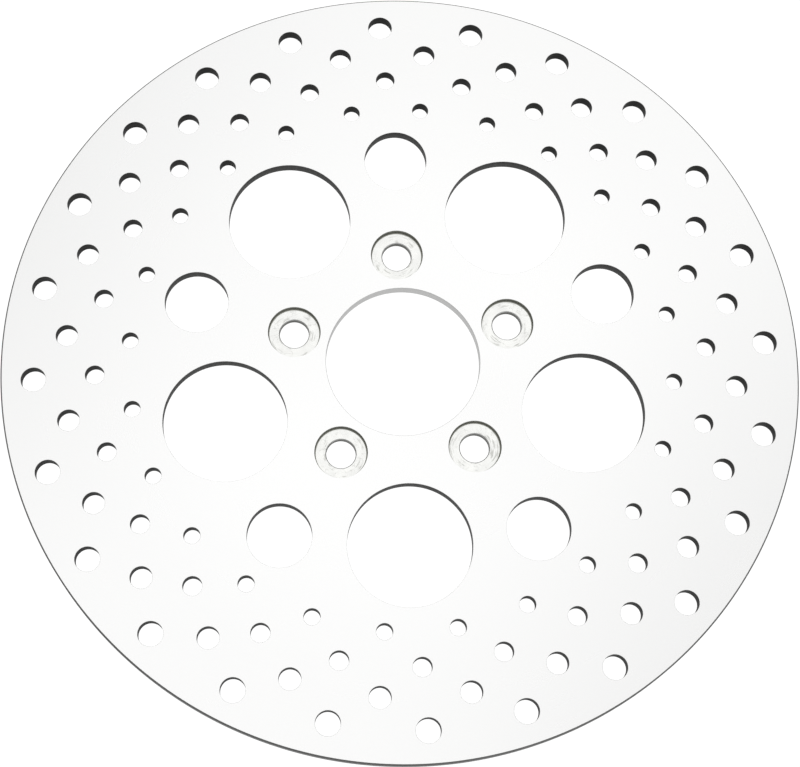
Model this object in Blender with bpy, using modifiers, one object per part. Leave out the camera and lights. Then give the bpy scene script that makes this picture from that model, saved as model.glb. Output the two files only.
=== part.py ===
"""One-piece drilled brake disc for a motorcycle wheel, lying on its hub side.

The origin is the centre of the hub-side face. +Z points to the outer side, which has the
bolt recesses, and +Y runs through the middle of one of the five small windows.
"""

import math

import bmesh
import bpy
from mathutils import Vector

MM = 0.001

# Plate
DISC_DIAMETER = 292.1 * MM
THICKNESS = 5.08 * MM
BORE_DIAMETER = 56.4 * MM
EDGE_BREAK = 0.4 * MM

# Windows between the hub flange and the braking band
WINDOW_COUNT = 5
LARGE_WINDOW_DIAMETER = 45.0 * MM
LARGE_WINDOW_CIRCLE = 2 * 68.5 * MM
LARGE_WINDOW_ANGLE = 270.0
SMALL_WINDOW_DIAMETER = 23.3 * MM
SMALL_WINDOW_CIRCLE = 2 * 78.9 * MM
SMALL_WINDOW_ANGLE = 90.0

# Bolt holes, each with a round recess for the bolt's head in the outer face
BOLT_COUNT = 5
BOLT_CIRCLE = 82.55 * MM
BOLT_ANGLE = 91.1
BOLT_HOLE_DIAMETER = 10.7 * MM
RECESS_DIAMETER = 19.3 * MM
RECESS_DEPTH = 2.35 * MM

# Drilled rings of the braking band: circle diameter, hole diameter, angle of the first hole
DRILLED_PER_RING = 24
DRILLED_RINGS = (
    (2 * 99.8 * MM, 6.0 * MM, 9.16),
    (2 * 112.1 * MM, 7.0 * MM, 1.38),
    (2 * 122.9 * MM, 8.0 * MM, 9.16),
    (2 * 134.2 * MM, 9.0 * MM, 1.69),
)

# Modelling
CHORD_SAG = 0.1 * MM
CUTTER_MARGIN = 1.0 * MM
WELD_DISTANCE = 0.001 * MM
SMOOTH_ANGLE = math.radians(30)
STEEL_COLOUR = (0.80, 0.80, 0.79, 1.0)
STEEL_ROUGHNESS = 0.28


def clear_scene():
    for old in list(bpy.data.objects):
        bpy.data.objects.remove(old, do_unlink=True)


def new_collection(name):
    made = bpy.data.collections.new(name)
    bpy.context.scene.collection.children.link(made)
    return made


def sides_of(radius):
    """Sides of a polygon that stays within CHORD_SAG of its circle, in fours so that it
    reaches the full diameter along X and Y."""
    return 4 * math.ceil(math.pi / math.acos(1 - CHORD_SAG / radius) / 4)


def centres(count, circle_diameter, first_angle):
    """Centres of holes spaced evenly on a circle, the first one at first_angle degrees."""
    radius = circle_diameter / 2
    angles = [math.radians(first_angle) + math.tau * i / count for i in range(count)]
    return [Vector((radius * math.cos(a), radius * math.sin(a), 0)) for a in angles]


def add_circle(outline, centre, diameter):
    """Adds a closed round outline to a 2D curve. Inside another outline it is a hole."""
    radius = diameter / 2
    sides = sides_of(radius)
    spline = outline.splines.new("POLY")
    spline.points.add(sides - 1)
    for i, point in enumerate(spline.points):
        angle = math.tau * i / sides
        x = centre.x + radius * math.cos(angle)
        y = centre.y + radius * math.sin(angle)
        point.co = (x, y, 0, 1)
    spline.use_cyclic_u = True


def add_circles(outline, places, diameter):
    for place in places:
        add_circle(outline, place, diameter)


def plate_outline():
    """The flat pattern of the disc: its rim and everything that is cut right through."""
    outline = bpy.data.curves.new("plate_outline", "CURVE")
    outline.dimensions = "2D"
    outline.fill_mode = "BOTH"
    outline.extrude = THICKNESS / 2
    centre = Vector((0, 0, 0))
    add_circle(outline, centre, DISC_DIAMETER)
    add_circle(outline, centre, BORE_DIAMETER)
    large = centres(WINDOW_COUNT, LARGE_WINDOW_CIRCLE, LARGE_WINDOW_ANGLE)
    small = centres(WINDOW_COUNT, SMALL_WINDOW_CIRCLE, SMALL_WINDOW_ANGLE)
    bolts = centres(BOLT_COUNT, BOLT_CIRCLE, BOLT_ANGLE)
    add_circles(outline, large, LARGE_WINDOW_DIAMETER)
    add_circles(outline, small, SMALL_WINDOW_DIAMETER)
    add_circles(outline, bolts, BOLT_HOLE_DIAMETER)
    for circle, diameter, first_angle in DRILLED_RINGS:
        add_circles(outline, centres(DRILLED_PER_RING, circle, first_angle), diameter)
    return outline


def plate_mesh(outline):
    """The extruded pattern as one closed mesh, standing on z = 0."""
    flat = bpy.data.objects.new("plate_outline", outline)
    bpy.context.scene.collection.objects.link(flat)
    flat.location.z = THICKNESS / 2
    graph = bpy.context.evaluated_depsgraph_get()
    mesh = bpy.data.meshes.new_from_object(flat.evaluated_get(graph))
    mesh.transform(flat.matrix_world)
    bpy.data.objects.remove(flat, do_unlink=True)
    shape = bmesh.new()
    shape.from_mesh(mesh)
    bmesh.ops.remove_doubles(shape, verts=shape.verts, dist=WELD_DISTANCE)
    shape.to_mesh(mesh)
    shape.free()
    return mesh


def new_cutter(name, mesh, collection):
    cutter = bpy.data.objects.new(name, mesh)
    cutter.hide_render = True
    cutter.display_type = "WIRE"
    collection.objects.link(cutter)
    return cutter


def add_recess_cutters(collection):
    """A short cylinder over each bolt hole, which sinks the seat for the bolt's head."""
    height = RECESS_DEPTH + CUTTER_MARGIN
    radius = RECESS_DIAMETER / 2
    mesh = bpy.data.meshes.new("recess_cutter")
    shape = bmesh.new()
    bmesh.ops.create_cone(
        shape, cap_ends=True, segments=sides_of(radius), radius1=radius, radius2=radius, depth=height
    )
    shape.to_mesh(mesh)
    shape.free()
    for place in centres(BOLT_COUNT, BOLT_CIRCLE, BOLT_ANGLE):
        cutter = new_cutter("recess_cutter", mesh, collection)
        cutter.location = place
        cutter.location.z = THICKNESS - RECESS_DEPTH + height / 2


def add_edge_cutter(collection, radius, height, outward, upward):
    """A turned ring of triangular section, which breaks one sharp edge of the plate at 45
    degrees. outward and upward are 1 or -1 and point away from the material."""
    reach = EDGE_BREAK + CUTTER_MARGIN
    inner = (radius - outward * reach, height + upward * CUTTER_MARGIN)
    outer = (radius + outward * CUTTER_MARGIN, height - upward * reach)
    corner = (radius + outward * CUTTER_MARGIN, height + upward * CUTTER_MARGIN)
    section = [inner, corner, outer]
    if outward != upward:
        section.reverse()
    mesh = bpy.data.meshes.new("edge_cutter")
    points = [(x, 0, z) for x, z in section]
    mesh.from_pydata(points, [(0, 1), (1, 2), (2, 0)], [])
    cutter = new_cutter("edge_cutter", mesh, collection)
    turn = cutter.modifiers.new("turn", "SCREW")
    turn.axis = "Z"
    turn.angle = math.tau
    turn.steps = sides_of(radius)
    turn.render_steps = turn.steps
    turn.use_merge_vertices = True
    turn.merge_threshold = WELD_DISTANCE


def steel():
    material = bpy.data.materials.new("ground_stainless")
    material.use_nodes = True
    shader = material.node_tree.nodes["Principled BSDF"]
    shader.inputs["Base Color"].default_value = STEEL_COLOUR
    shader.inputs["Metallic"].default_value = 1.0
    shader.inputs["Roughness"].default_value = STEEL_ROUGHNESS
    return material


def brake_disc(parts, cutters):
    add_recess_cutters(cutters)
    for height, upward in ((THICKNESS, 1), (0, -1)):
        add_edge_cutter(cutters, DISC_DIAMETER / 2, height, 1, upward)
        add_edge_cutter(cutters, BORE_DIAMETER / 2, height, -1, upward)
    disc = bpy.data.objects.new("brake_disc", plate_mesh(plate_outline()))
    parts.objects.link(disc)
    cut = disc.modifiers.new("recesses_and_edges", "BOOLEAN")
    cut.operation = "DIFFERENCE"
    cut.solver = "EXACT"
    cut.operand_type = "COLLECTION"
    cut.collection = cutters
    disc.data.materials.clear()
    disc.data.materials.append(steel())
    disc.data.shade_smooth()
    disc.data.set_sharp_from_angle(angle=SMOOTH_ANGLE)


def main():
    clear_scene()
    parts = new_collection("brake_disc_rotor")
    cutters = new_collection("cutters")
    brake_disc(parts, cutters)


main()
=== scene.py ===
import math

import bmesh
import bpy
from mathutils import Matrix, Vector


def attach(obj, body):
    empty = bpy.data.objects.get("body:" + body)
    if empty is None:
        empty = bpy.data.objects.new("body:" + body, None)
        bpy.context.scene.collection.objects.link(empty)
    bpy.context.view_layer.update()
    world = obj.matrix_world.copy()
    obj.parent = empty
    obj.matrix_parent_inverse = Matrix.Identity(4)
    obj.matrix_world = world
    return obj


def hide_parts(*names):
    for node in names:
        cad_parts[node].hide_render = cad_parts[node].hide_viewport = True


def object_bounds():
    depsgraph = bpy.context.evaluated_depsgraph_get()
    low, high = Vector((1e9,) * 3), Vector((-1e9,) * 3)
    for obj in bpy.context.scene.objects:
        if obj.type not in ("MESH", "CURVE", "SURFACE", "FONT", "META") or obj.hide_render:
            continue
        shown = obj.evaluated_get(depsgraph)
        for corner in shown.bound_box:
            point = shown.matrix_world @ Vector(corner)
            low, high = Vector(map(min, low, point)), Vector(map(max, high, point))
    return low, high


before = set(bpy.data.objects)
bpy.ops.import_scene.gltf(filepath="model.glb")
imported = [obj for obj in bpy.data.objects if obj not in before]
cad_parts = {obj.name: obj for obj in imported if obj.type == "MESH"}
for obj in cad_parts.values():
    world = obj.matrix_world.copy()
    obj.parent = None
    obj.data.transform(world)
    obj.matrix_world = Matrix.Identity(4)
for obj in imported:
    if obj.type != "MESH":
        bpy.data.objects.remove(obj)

# Looks of a one-piece drilled brake disc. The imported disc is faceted, so a smooth copy with
# broken edges stands for it. Every axis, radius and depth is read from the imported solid.

MM = 0.001
CAD_LOW, CAD_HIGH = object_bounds()
BOTTOM = CAD_LOW.z
TOP = CAD_HIGH.z

# Mesh
WELD_DISTANCE = 0.001 * MM
CHORD_SAG = 0.006 * MM
FLAT_NORMAL = 0.9
SAME_AXIS = 0.1 * MM
SORT_DIGITS = 5
RIM_EDGE_BREAK = 0.55 * MM
BORE_EDGE_BREAK = 0.13 * MM
HOLE_EDGE_BREAK = 0.06 * MM
SEAT_EDGE_BREAK = 0.3 * MM
RECESS_CORNER = 0.5 * MM
CORNER_STEPS = 4
SHARP_ANGLE = math.radians(14)
LASER_CUT_RADIUS = 10 * MM
AXIS_ATTRIBUTE = "from_axis"

# Radii between which the face's colour goes from the hub's lighter tone to the brake band's darker
# one, a painted falloff of light
HUB_EDGE = 50 * MM
BAND_MIDDLE = 130 * MM

# Camera: where it looks, how far away it stands and how it is turned
CAMERA_TARGET = Vector((-0.00144, -0.00857, TOP))
CAMERA_DISTANCE = 0.7165
CAMERA_AZIMUTH = math.radians(-10.53)
CAMERA_ELEVATION = math.radians(73.33)
CAMERA_ROLL = math.radians(8.81)
CAMERA_LENS = 88.45

# Studio. The world's heights are sines of the angle above the horizon.
FLOOR_SIZE = 30.0
FLOOR_GAP = 0.2 * MM
PALE = 1.08
FLOOR_LIGHT = 0.6
WALL_TOP = 0.0
CEILING_EDGE = 0.9
WALL_LIGHT = 0.25
CEILING_LIGHT = 1.035
PANEL_DIRECTION = (0.77, -0.64, 0)
PANEL_EDGE = 0.6
PANEL_FOOT = (0.08, 0.3)
PANEL_HEAD = (0.85, 0.35)
PANEL_LIGHT = 0.4
SOFTBOX_DISTANCE = 1.1
SOFTBOX_LENGTH = 1.6
SOFTBOX_WIDTH = 0.78
SOFTBOX_POWER = 1.17
SOFTBOX_AZIMUTH = math.radians(60)


class Wall:
    """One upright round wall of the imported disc, in metres."""

    def __init__(self, corners):
        xs = [v.x for v in corners]
        ys = [v.y for v in corners]
        zs = [v.z for v in corners]
        self.axis = Vector(((min(xs) + max(xs)) / 2, (min(ys) + max(ys)) / 2))
        reach = [(v.xy - self.axis).length for v in corners]
        self.inner = min(reach)
        self.outer = max(reach)
        self.low = min(zs)
        self.high = max(zs)


def connected(seed):
    """The vertices joined to seed by edges, seed included."""
    found = {seed}
    waiting = [seed]
    while waiting:
        vertex = waiting.pop()
        for edge in vertex.link_edges:
            other = edge.other_vert(vertex)
            if other not in found:
                found.add(other)
                waiting.append(other)
    return found


def walls_of(node):
    """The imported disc's round walls, found by taking its flat faces away."""
    shape = bmesh.new()
    shape.from_mesh(node.data)
    bmesh.ops.remove_doubles(shape, verts=shape.verts, dist=WELD_DISTANCE)
    shape.normal_update()
    flat = [face for face in shape.faces if abs(face.normal.z) > FLAT_NORMAL]
    bmesh.ops.delete(shape, geom=flat, context="FACES")
    walls = []
    left = set(shape.verts)
    while left:
        group = connected(next(iter(left)))
        left -= group
        walls.append(Wall([v.co for v in group]))
    shape.free()
    return sorted(walls, key=by_size)


def by_size(wall):
    """Sorts walls by radius, and walls of one radius by where they stand."""
    return (
        round(wall.outer, SORT_DIGITS), round(wall.axis.x, SORT_DIGITS),
        round(wall.axis.y, SORT_DIGITS), wall.low,
    )


def sides_of(radius):
    """How many sides, a multiple of four, keep a ring within CHORD_SAG of its circle."""
    return 4 * math.ceil(math.pi / math.acos(1 - CHORD_SAG / radius) / 4)


# The kinds of surface that the disc's faces have, in the order of its material slots
GROUND, EDGE, DRILLED, LASER_CUT, BORE, RECESS_WALL, RECESS_FLOOR, BOLT_HOLE, RIM = range(9)


def rim_profile(wall):
    radius = wall.outer
    return [
        (radius - RIM_EDGE_BREAK, TOP, RIM),
        (radius, TOP - RIM_EDGE_BREAK, RIM),
        (radius, BOTTOM + RIM_EDGE_BREAK, RIM),
        (radius - RIM_EDGE_BREAK, BOTTOM, None),
    ]


def opening_profile(wall, surface, edge_break=HOLE_EDGE_BREAK):
    radius = wall.inner
    return [
        (radius + edge_break, TOP, EDGE),
        (radius, TOP - edge_break, surface),
        (radius, BOTTOM + edge_break, EDGE),
        (radius + edge_break, BOTTOM, None),
    ]


def seat_profile(recess, hole):
    """Down the recess's wall, round its corner, across the flat seat and down the bolt hole."""
    wide = recess.inner
    narrow = hole.inner
    floor = recess.low
    points = [(wide, TOP, RECESS_WALL)]
    for step in range(CORNER_STEPS + 1):
        turn = math.pi / 2 * step / CORNER_STEPS
        radius = wide - RECESS_CORNER * (1 - math.cos(turn))
        height = floor + RECESS_CORNER * (1 - math.sin(turn))
        # the rounded corner takes the recess wall's dark colour: painted shade in the corner
        points.append((radius, height, RECESS_WALL if step < CORNER_STEPS else RECESS_FLOOR))
    points += [
        (narrow + SEAT_EDGE_BREAK, floor, EDGE),
        (narrow, floor - SEAT_EDGE_BREAK, BOLT_HOLE),
        (narrow, BOTTOM + HOLE_EDGE_BREAK, EDGE),
        (narrow + HOLE_EDGE_BREAK, BOTTOM, None),
    ]
    return points


def sweep(shape, axis, profile, sides):
    """Sweeps a profile round an upright axis. Returns its first and its last ring of edges."""
    local = shape.verts.layers.float_vector[AXIS_ATTRIBUTE]
    rings = []
    for radius, height, _ in profile:
        ring = []
        for i in range(sides):
            angle = math.tau * i / sides
            x = radius * math.cos(angle)
            y = radius * math.sin(angle)
            vertex = shape.verts.new((axis.x + x, axis.y + y, height))
            vertex[local] = (x, y, height)
            ring.append(vertex)
        rings.append(ring)
    for (_, _, surface), upper, lower in zip(profile, rings, rings[1:]):
        for i in range(sides):
            k = (i + 1) % sides
            face = shape.faces.new((upper[i], upper[k], lower[k], lower[i]))
            face.material_index = surface
    return [
        [shape.edges.get((ring[i], ring[(i + 1) % sides])) for i in range(sides)]
        for ring in (rings[0], rings[-1])
    ]


def smooth_disc(walls):
    """The whole disc as one closed mesh: swept walls, and flat faces filled between them."""
    shape = bmesh.new()
    shape.verts.layers.float_vector.new(AXIS_ATTRIBUTE)
    rim = walls[-1]
    recesses = [w for w in walls if w.low > BOTTOM + WELD_DISTANCE]
    top_edges = []
    bottom_edges = []

    def add(wall, profile):
        upper, lower = sweep(shape, wall.axis, profile, sides_of(wall.outer))
        top_edges.extend(upper)
        bottom_edges.extend(lower)

    add(rim, rim_profile(rim))
    for wall in walls[:-1]:
        if wall in recesses:
            continue
        above = [r for r in recesses if (r.axis - wall.axis).length < SAME_AXIS]
        if above:
            add(above[0], seat_profile(above[0], wall))
        elif wall.axis.length < SAME_AXIS:
            add(wall, opening_profile(wall, BORE, BORE_EDGE_BREAK))
        elif wall.inner > LASER_CUT_RADIUS:
            add(wall, opening_profile(wall, LASER_CUT))
        else:
            add(wall, opening_profile(wall, DRILLED))
    for edges in (top_edges, bottom_edges):
        bmesh.ops.triangle_fill(shape, use_beauty=True, use_dissolve=False, edges=edges)
    bmesh.ops.recalc_face_normals(shape, faces=shape.faces)
    mesh = bpy.data.meshes.new("brake_disc_smooth")
    shape.to_mesh(mesh)
    shape.free()
    mesh.shade_smooth()
    mesh.set_sharp_from_angle(angle=SHARP_ANGLE)
    return mesh


class Nodes:
    """Adds nodes to one tree. A keyword sets the input of that name, with underscores for
    spaces, or the input of that number, as in _0. It takes a value or a node's socket."""

    def __init__(self, material):
        self.tree = material.node_tree

    def add(self, kind, settings=(), **inputs):
        node = self.tree.nodes.new("ShaderNode" + kind)
        for name, value in dict(settings).items():
            setattr(node, name, value)
        for name, value in inputs.items():
            key = int(name[1:]) if name[1:].isdigit() else name.replace("_", " ")
            self.feed(node.inputs[key], value)
        return node

    def feed(self, socket, value):
        if isinstance(value, bpy.types.NodeSocket):
            self.tree.links.new(value, socket)
        else:
            socket.default_value = value

    def math(self, operation, first, second=0.0):
        return self.add("Math", {"operation": operation}, _0=first, _1=second).outputs[0]

    def vector(self, operation, first, second=(0, 0, 0)):
        return self.add("VectorMath", {"operation": operation}, _0=first, _1=second).outputs[0]

    def scaled(self, vector, factor):
        return self.add("VectorMath", {"operation": "SCALE"}, _0=vector, Scale=factor).outputs[0]

    def shared(self, share, first, second):
        """The sum of two numbers, of which the first has this share."""
        part = self.math("MULTIPLY", first, share)
        rest = self.math("MULTIPLY", second, 1 - share)
        return self.math("ADD", part, rest)

    def blend(self, factor, low, high):
        """A number that runs from low to high as factor runs from 0 to 1."""
        return self.add("MapRange", Value=factor, To_Min=low, To_Max=high).outputs["Result"]

    def ramp(self, value, start, end, low=0.0, high=1.0):
        """A smooth step from low to high as value runs from start to end."""
        step = self.add(
            "MapRange", {"interpolation_type": "SMOOTHSTEP"},
            Value=value, From_Min=start, From_Max=end, To_Min=low, To_Max=high,
        )
        return step.outputs["Result"]

    def mix(self, factor, first, second):
        """Two colours mixed."""
        mixed = self.add("Mix", {"data_type": "RGBA"}, Factor=factor, _6=first, _7=second)
        return mixed.outputs[2]

    def tint(self, factor, dark, light):
        return self.mix(factor, (*dark, 1), (*light, 1))

    def noise(self, vector, detail=2.0):
        """Noise with its cells one unit of the vector wide, spread over 0 to 1."""
        made = self.add("TexNoise", Vector=vector, Scale=1.0, Detail=detail, Roughness=0.5)
        return self.ramp(made.outputs["Fac"], 0.25, 0.75)

    def contour(self, field, width):
        """Thin winding lines where a field crosses its middle."""
        away = self.math("ABSOLUTE", self.math("SUBTRACT", field, 0.5))
        return self.ramp(away, width, 0.0)


class Turning:
    """Cylinder coordinates about an upright axis, for marks left by turning or grinding."""

    def __init__(self, nodes, position, shift=(0, 0, 0)):
        self.nodes = nodes
        self.position = position
        self.shift = shift
        split = nodes.add("SeparateXYZ", Vector=position)
        self.height = split.outputs["Z"]
        flat = nodes.add("CombineXYZ", X=split.outputs["X"], Y=split.outputs["Y"]).outputs[0]
        self.radius = nodes.add("VectorMath", {"operation": "LENGTH"}, _0=flat).outputs["Value"]
        self.outward = nodes.vector("NORMALIZE", flat)

    def marks(self, pitch, arcs, detail=2.0, on_wall=False):
        """Streaks round the axis, pitch wide, that change about arcs times in a turn. They are
        rings across a flat face, or on_wall rings up a wall."""
        nodes = self.nodes
        across = nodes.math("MULTIPLY", self.height if on_wall else self.radius, 1 / pitch)
        turn = nodes.add("SeparateXYZ", Vector=nodes.scaled(self.outward, arcs / math.tau))
        place = nodes.add("CombineXYZ", X=across, Y=turn.outputs["X"], Z=turn.outputs["Y"])
        return nodes.noise(nodes.vector("ADD", place.outputs[0], self.shift), detail)

    def cells(self, size, seed=0):
        """Blotches of one size, all ways alike. Each seed gives a different pattern."""
        nodes = self.nodes
        place = nodes.vector("ADD", nodes.scaled(self.position, 1 / size), self.shift)
        return nodes.noise(nodes.vector("ADD", place, (seed, seed, seed)))


def local_turning(nodes):
    """Turning about the axis of whichever hole the surface belongs to, with marks that differ
    from hole to hole."""
    place = nodes.add("TexCoord").outputs["Object"]
    local = nodes.add("Attribute", {"attribute_name": AXIS_ATTRIBUTE}).outputs["Vector"]
    axis = nodes.vector("SUBTRACT", place, local)
    return Turning(nodes, local, nodes.scaled(axis, 1 / MM))


def new_metal(name, metallic=1.0, anisotropic=0.0):
    """A metal and its shader. Values that are the same all over are set on the shader."""
    material = bpy.data.materials.new(name)
    material.use_nodes = True
    shader = material.node_tree.nodes["Principled BSDF"]
    shader.inputs["Metallic"].default_value = metallic
    shader.inputs["Anisotropic"].default_value = anisotropic
    return material, shader, Nodes(material)


def ground_face():
    """Circular grinding: fine rings round the disc's axis, which stretch highlights along
    its radii, with broader bands. The hub is painted a little lighter than the brake band, a
    painted falloff of light."""
    material, shader, nodes = new_metal("ground_face", anisotropic=0.71)
    place = nodes.add("TexCoord").outputs["Object"]
    turning = Turning(nodes, place)
    fine = turning.marks(0.2 * MM, 9)
    medium = turning.marks(0.9 * MM, 6)
    broad = turning.marks(5 * MM, 3)
    clouds = turning.cells(22 * MM)
    streaks = nodes.shared(0.45, fine, medium)
    both = nodes.shared(0.45, streaks, nodes.shared(0.4, broad, clouds))
    # painted falloff of light: the face gets a little darker from the hub out to the brake band
    band = nodes.ramp(turning.radius, HUB_EDGE, BAND_MIDDLE)
    hub_streaks_painted_light = nodes.tint(both, (0.763, 0.763, 0.761), (0.783, 0.783, 0.779))
    band_streaks_painted_shade = nodes.tint(both, (0.738, 0.738, 0.735), (0.764, 0.764, 0.760))
    nodes.feed(shader.inputs["Base Color"], nodes.mix(band, hub_streaks_painted_light, band_streaks_painted_shade))
    nodes.feed(shader.inputs["Roughness"], nodes.blend(both, 0.235, 0.285))
    bump = nodes.add("Bump", Strength=0.3, Distance=0.0025 * MM, Height=streaks)
    nodes.feed(shader.inputs["Normal"], bump.outputs[0])
    nodes.feed(shader.inputs["Tangent"], turning.outward)
    return material


def broken_edge():
    """Bare metal where a hole's sharp edge was taken off, with fine marks round the hole."""
    material, shader, nodes = new_metal("broken_edge")
    marks = local_turning(nodes).marks(0.05 * MM, 30)
    colour = nodes.tint(marks, (0.64, 0.64, 0.635), (0.74, 0.74, 0.73))
    nodes.feed(shader.inputs["Base Color"], colour)
    nodes.feed(shader.inputs["Roughness"], nodes.blend(marks, 0.24, 0.36))
    return material


def drilled_wall():
    """The dark wall of a drilled hole: rings left by the drill. Its near-black colour is painted
    shade in the hole, in blotches of slightly different tone.
    """
    material, shader, nodes = new_metal("drilled_wall", metallic=0.2)
    shader.inputs["Specular IOR Level"].default_value = 0.15
    turning = local_turning(nodes)
    rings = turning.marks(0.2 * MM, 4, on_wall=True)
    tone_blotches = turning.marks(1.6 * MM, 9, on_wall=True)
    # near-black, weakly reflecting colour: painted shade inside the hole
    colour = nodes.tint(tone_blotches, (0.006, 0.0064, 0.0058), (0.016, 0.0162, 0.0148))
    nodes.feed(shader.inputs["Base Color"], colour)
    nodes.feed(shader.inputs["Roughness"], nodes.blend(rings, 0.42, 0.6))
    bump = nodes.add("Bump", Strength=0.5, Distance=0.02 * MM, Height=rings)
    nodes.feed(shader.inputs["Normal"], bump.outputs[0])
    return material


def laser_cut_wall():
    """The dark wall of a window: close upright ridges left by the laser. Its dark colour is partly
    an oxide layer and partly painted shade, and it lightens towards the bottom as painted light
    from the pale floor below."""
    material, shader, nodes = new_metal("laser_cut_wall", metallic=0.2)
    shader.inputs["Specular IOR Level"].default_value = 0.25
    turning = local_turning(nodes)
    ridges = turning.marks(5 * MM, 420, on_wall=True)
    bands = turning.marks(1.4 * MM, 8, on_wall=True)
    # painted light: the wall gets lighter towards the bottom, as if lit from the pale floor
    painted_floor_light = nodes.ramp(turning.height, TOP, BOTTOM)
    oxide_and_painted_light = nodes.shared(0.6, painted_floor_light, bands)
    colour = nodes.tint(oxide_and_painted_light, (0.026, 0.026, 0.025), (0.080, 0.080, 0.078))
    nodes.feed(shader.inputs["Base Color"], colour)
    nodes.feed(shader.inputs["Roughness"], nodes.blend(ridges, 0.45, 0.62))
    bump = nodes.add("Bump", Strength=0.6, Distance=0.03 * MM, Height=ridges)
    nodes.feed(shader.inputs["Normal"], bump.outputs[0])
    return material


def turned_wall(name, pitch, dark, light, rough, anisotropic):
    """A turned upright wall: fine rings and broader bands up it, which stretch highlights
    along its height."""
    material, shader, nodes = new_metal(name, anisotropic=anisotropic)
    turning = local_turning(nodes)
    rings = turning.marks(pitch, 12, on_wall=True)
    bands = turning.marks(7 * pitch, 4, on_wall=True)
    both = nodes.shared(0.6, rings, bands)
    nodes.feed(shader.inputs["Base Color"], nodes.tint(both, dark, light))
    nodes.feed(shader.inputs["Roughness"], nodes.blend(both, *rough))
    bump = nodes.add("Bump", Strength=0.4, Distance=0.01 * MM, Height=both)
    nodes.feed(shader.inputs["Normal"], bump.outputs[0])
    nodes.feed(shader.inputs["Tangent"], nodes.add("CombineXYZ", Z=1.0).outputs[0])
    return material


def turned_bore():
    """The bright wall of the centre bore, which has to fit a hub."""
    return turned_wall(
        "turned_bore", pitch=0.14 * MM, dark=(0.76, 0.76, 0.755), light=(0.86, 0.86, 0.85),
        rough=(0.22, 0.34), anisotropic=0.5,
    )


def turned_rim():
    """The disc's outer edge, turned to size and left dull. Its dark grey colour is painted shade.
    """
    return turned_wall(
        # dark grey: painted shade on the rim
        "turned_rim", pitch=0.16 * MM, dark=(0.16, 0.16, 0.158), light=(0.26, 0.26, 0.255),
        rough=(0.3, 0.44), anisotropic=0.5,
    )


def recess_wall():
    """The side of a bolt recess, darker than its floor: its dark colour is painted shade in the
    recess and its rounded corner.
    """
    return turned_wall(
        # dark: painted shade on the recess's side
        "recess_wall", pitch=0.15 * MM, dark=(0.18, 0.183, 0.158), light=(0.26, 0.263, 0.232),
        rough=(0.3, 0.45), anisotropic=0.3,
    )


def bolt_hole_wall():
    """The wall of a bolt hole under its recess, reamed and dull. Its dark colour is painted shade
    in the hole.
    """
    return turned_wall(
        # dark: painted shade in the bolt hole
        "bolt_hole_wall", pitch=0.15 * MM, dark=(0.13, 0.132, 0.118), light=(0.2, 0.202, 0.185),
        rough=(0.3, 0.45), anisotropic=0.3,
    )


def recess_floor():
    """The bolt head's seat: a shiny spot-faced ring with a faint straw tint, cloudy patches,
    thin turning smears and scratches."""
    material, shader, nodes = new_metal("recess_floor", anisotropic=0.4)
    turning = local_turning(nodes)
    rings = turning.marks(0.28 * MM, 5)
    smears = turning.marks(0.5 * MM, 11, detail=3.0)
    patches = turning.marks(4 * MM, 9)
    clouds = turning.cells(3.5 * MM)
    scratched = nodes.ramp(turning.cells(4 * MM, seed=20), 0.35, 0.7)
    lines = nodes.contour(turning.cells(2.2 * MM, seed=40), 0.05)
    scratches = nodes.math("MULTIPLY", lines, scratched)
    dwelt = nodes.math("MULTIPLY", nodes.ramp(smears, 0.45, 0.9), nodes.ramp(patches, 0.4, 0.8))
    dark = nodes.math("MAXIMUM", dwelt, nodes.math("MULTIPLY", scratches, 0.9))
    clean = nodes.tint(clouds, (0.68, 0.682, 0.666), (0.745, 0.747, 0.727))
    nodes.feed(shader.inputs["Base Color"], nodes.mix(dark, clean, (0.46, 0.462, 0.44, 1)))
    nodes.feed(shader.inputs["Roughness"], nodes.blend(rings, 0.13, 0.23))
    mixed = nodes.shared(0.5, rings, smears)
    bump = nodes.add("Bump", Strength=0.6, Distance=0.02 * MM, Height=mixed)
    nodes.feed(shader.inputs["Normal"], bump.outputs[0])
    nodes.feed(shader.inputs["Tangent"], turning.outward)
    return material


SURFACES = (
    ground_face, broken_edge, drilled_wall, laser_cut_wall,
    turned_bore, recess_wall, recess_floor, bolt_hole_wall, turned_rim,
)


def add_disc():
    mesh = smooth_disc(walls_of(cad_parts["brake_disc"]))
    disc = bpy.data.objects.new("disc", mesh)
    bpy.context.scene.collection.objects.link(disc)
    for surface in SURFACES:
        mesh.materials.append(surface())
    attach(disc, "root")
    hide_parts("brake_disc")


def is_seen(nodes):
    """1 for what the camera sees directly, and 0 for light on its way to or from the disc."""
    return nodes.add("LightPath").outputs["Is Camera Ray"]


def add_floor():
    """A plain pale floor. It looks white, but gives less light than that from below."""
    mesh = bpy.data.meshes.new("floor")
    shape = bmesh.new()
    bmesh.ops.create_grid(shape, x_segments=1, y_segments=1, size=FLOOR_SIZE / 2)
    shape.to_mesh(mesh)
    shape.free()
    floor = bpy.data.objects.new("floor", mesh)
    floor.location.z = BOTTOM - FLOOR_GAP
    bpy.context.scene.collection.objects.link(floor)
    material = bpy.data.materials.new("pale_floor")
    material.use_nodes = True
    nodes = Nodes(material)
    light = nodes.add("Emission", Strength=nodes.blend(is_seen(nodes), FLOOR_LIGHT, PALE))
    output = material.node_tree.nodes["Material Output"]
    nodes.feed(output.inputs["Surface"], light.outputs[0])
    mesh.materials.append(material)


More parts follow.
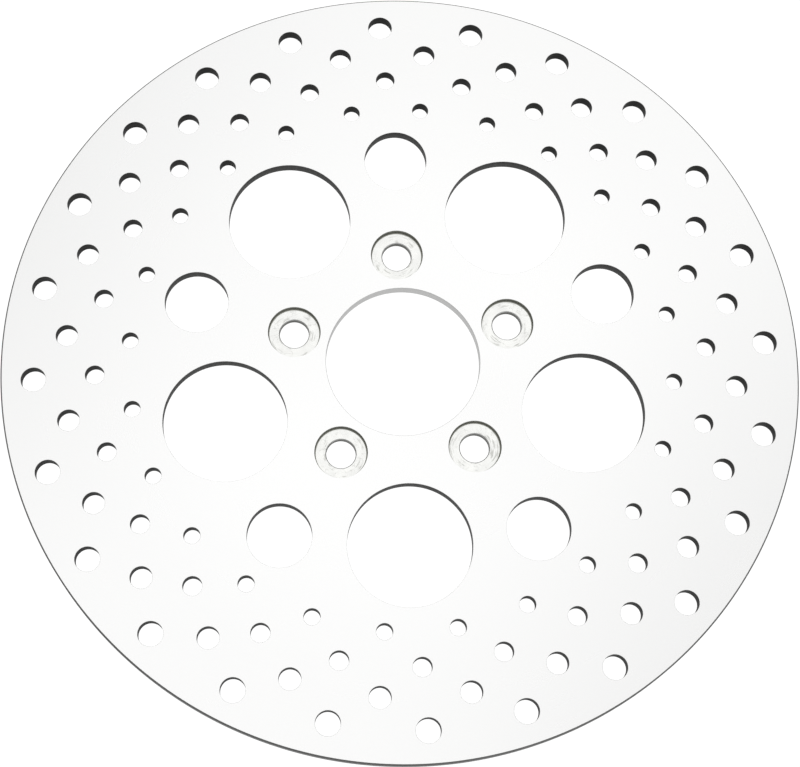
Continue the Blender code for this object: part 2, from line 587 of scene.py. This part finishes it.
def add_world():
    """A pale backdrop. In reflections it is a white ceiling that falls off to grey walls,
    with a soft panel of light on each side."""
    world = bpy.data.worlds.new("studio")
    bpy.context.scene.world = world
    world.use_nodes = True
    nodes = Nodes(world)
    direction = nodes.add("TexCoord").outputs["Generated"]
    split = nodes.add("SeparateXYZ", Vector=direction)
    height = split.outputs["Z"]
    room = nodes.ramp(height, WALL_TOP, CEILING_EDGE, WALL_LIGHT, CEILING_LIGHT)
    level = nodes.add("CombineXYZ", X=split.outputs["X"], Y=split.outputs["Y"]).outputs[0]
    heading = nodes.vector("NORMALIZE", level)
    facing = nodes.add("VectorMath", {"operation": "DOT_PRODUCT"}, _0=heading, _1=PANEL_DIRECTION)
    panel = nodes.ramp(nodes.math("ABSOLUTE", facing.outputs["Value"]), PANEL_EDGE, 1.0)
    span = nodes.math("MULTIPLY", nodes.ramp(height, *PANEL_FOOT), nodes.ramp(height, *PANEL_HEAD))
    panels = nodes.math("MULTIPLY", nodes.math("MULTIPLY", panel, span), PANEL_LIGHT)
    background = world.node_tree.nodes["Background"]
    strength = nodes.blend(is_seen(nodes), nodes.math("ADD", room, panels), PALE)
    nodes.feed(background.inputs["Strength"], strength)
    background.inputs["Color"].default_value = (1, 1, 1, 1)


def add_softbox():
    """A long soft light where the camera sees it mirrored in the disc."""
    data = bpy.data.lights.new("softbox", "AREA")
    data.shape = "RECTANGLE"
    data.size = SOFTBOX_LENGTH
    data.size_y = SOFTBOX_WIDTH
    data.energy = SOFTBOX_POWER
    light = bpy.data.objects.new("softbox", data)
    bpy.context.scene.collection.objects.link(light)
    back = camera_back()
    mirrored = Vector((-back.x, -back.y, back.z))
    x_axis = Vector((math.cos(SOFTBOX_AZIMUTH), math.sin(SOFTBOX_AZIMUTH), 0))
    y_axis = mirrored.cross(x_axis).normalized()
    x_axis = y_axis.cross(mirrored)
    turned = Matrix((x_axis, y_axis, mirrored)).transposed().to_4x4()
    light.matrix_world = Matrix.Translation(mirrored * SOFTBOX_DISTANCE) @ turned


def camera_back():
    """The direction from what the camera looks at to the camera."""
    level = math.cos(CAMERA_ELEVATION)
    x = math.sin(CAMERA_AZIMUTH) * level
    y = -math.cos(CAMERA_AZIMUTH) * level
    return Vector((x, y, math.sin(CAMERA_ELEVATION)))


def add_camera():
    data = bpy.data.cameras.new("camera")
    data.lens = CAMERA_LENS
    camera = bpy.data.objects.new("camera", data)
    bpy.context.scene.collection.objects.link(camera)
    back = camera_back()
    turned = (-back).to_track_quat("-Z", "Y").to_matrix().to_4x4()
    roll = Matrix.Rotation(CAMERA_ROLL, 4, "Z")
    camera.matrix_world = Matrix.Translation(CAMERA_TARGET + back * CAMERA_DISTANCE) @ turned @ roll
    bpy.context.scene.camera = camera


add_camera()
add_disc()
add_floor()
add_world()
add_softbox()
bpy.context.scene.view_settings.view_transform = "Standard"
